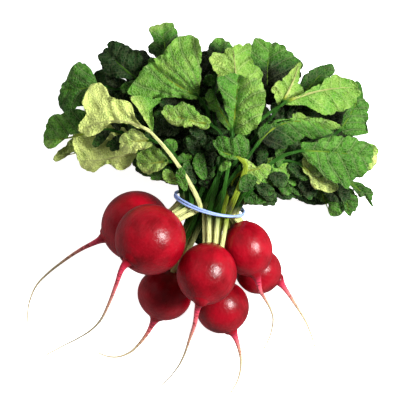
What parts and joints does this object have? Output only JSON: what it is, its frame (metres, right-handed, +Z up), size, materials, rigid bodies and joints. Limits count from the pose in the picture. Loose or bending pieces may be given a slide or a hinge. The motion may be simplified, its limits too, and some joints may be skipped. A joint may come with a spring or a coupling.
{
  "type": "bunch of radishes",
  "caption": "Bunch of round red radishes with leafy tops and thin taproots, tied with a rubber band and lying on its side.",
  "frame": {"origin": "on the surface that the bunch lies on, under the middle of its bounding box", "axes": "+Z up from the surface; +Y towards the leaves, with the radishes and their taproots at -Y; +X to the right as seen from above with the leaves away from the viewer"},
  "size_m": [0.1964, 0.2066, 0.0777],
  "materials": {
    "skin": "satin",
    "leaf": "satin",
    "rubber": "satin"
  },
  "bodies": {
    "root": {"leaf_a1": "leaf", "leaf_a2": "leaf", "leaf_a3": "leaf", "leaf_a4": "leaf", "leaf_a5": "leaf", "leaf_b1": "leaf", "leaf_b2": "leaf", "leaf_b3": "leaf", "leaf_b4": "leaf", "leaf_b5": "leaf", "leaf_c1": "leaf", "leaf_c2": "leaf", "leaf_c3": "leaf", "leaf_c4": "leaf", "leaf_c5": "leaf", "leaf_c6": "leaf", "leaf_d1": "leaf", "leaf_d2": "leaf", "leaf_d3": "leaf", "leaf_d4": "leaf", "leaf_d5": "leaf", "leaf_d6": "leaf", "leaf_d7": "leaf", "leaf_e1": "leaf", "leaf_e2": "leaf", "leaf_e3": "leaf", "leaf_e4": "leaf", "leaf_e5": "leaf", "leaf_f1": "leaf", "leaf_f2": "leaf", "leaf_f3": "leaf", "leaf_f4": "leaf", "leaf_f5": "leaf", "leaf_g1": "leaf", "leaf_g2": "leaf", "leaf_g3": "leaf", "radish_a": "skin", "radish_b": "skin", "radish_c": "skin", "radish_d": "skin", "radish_e": "skin", "radish_f": "skin", "radish_g": "skin", "rubber_band": "rubber"}
  },
  "joints": []
}
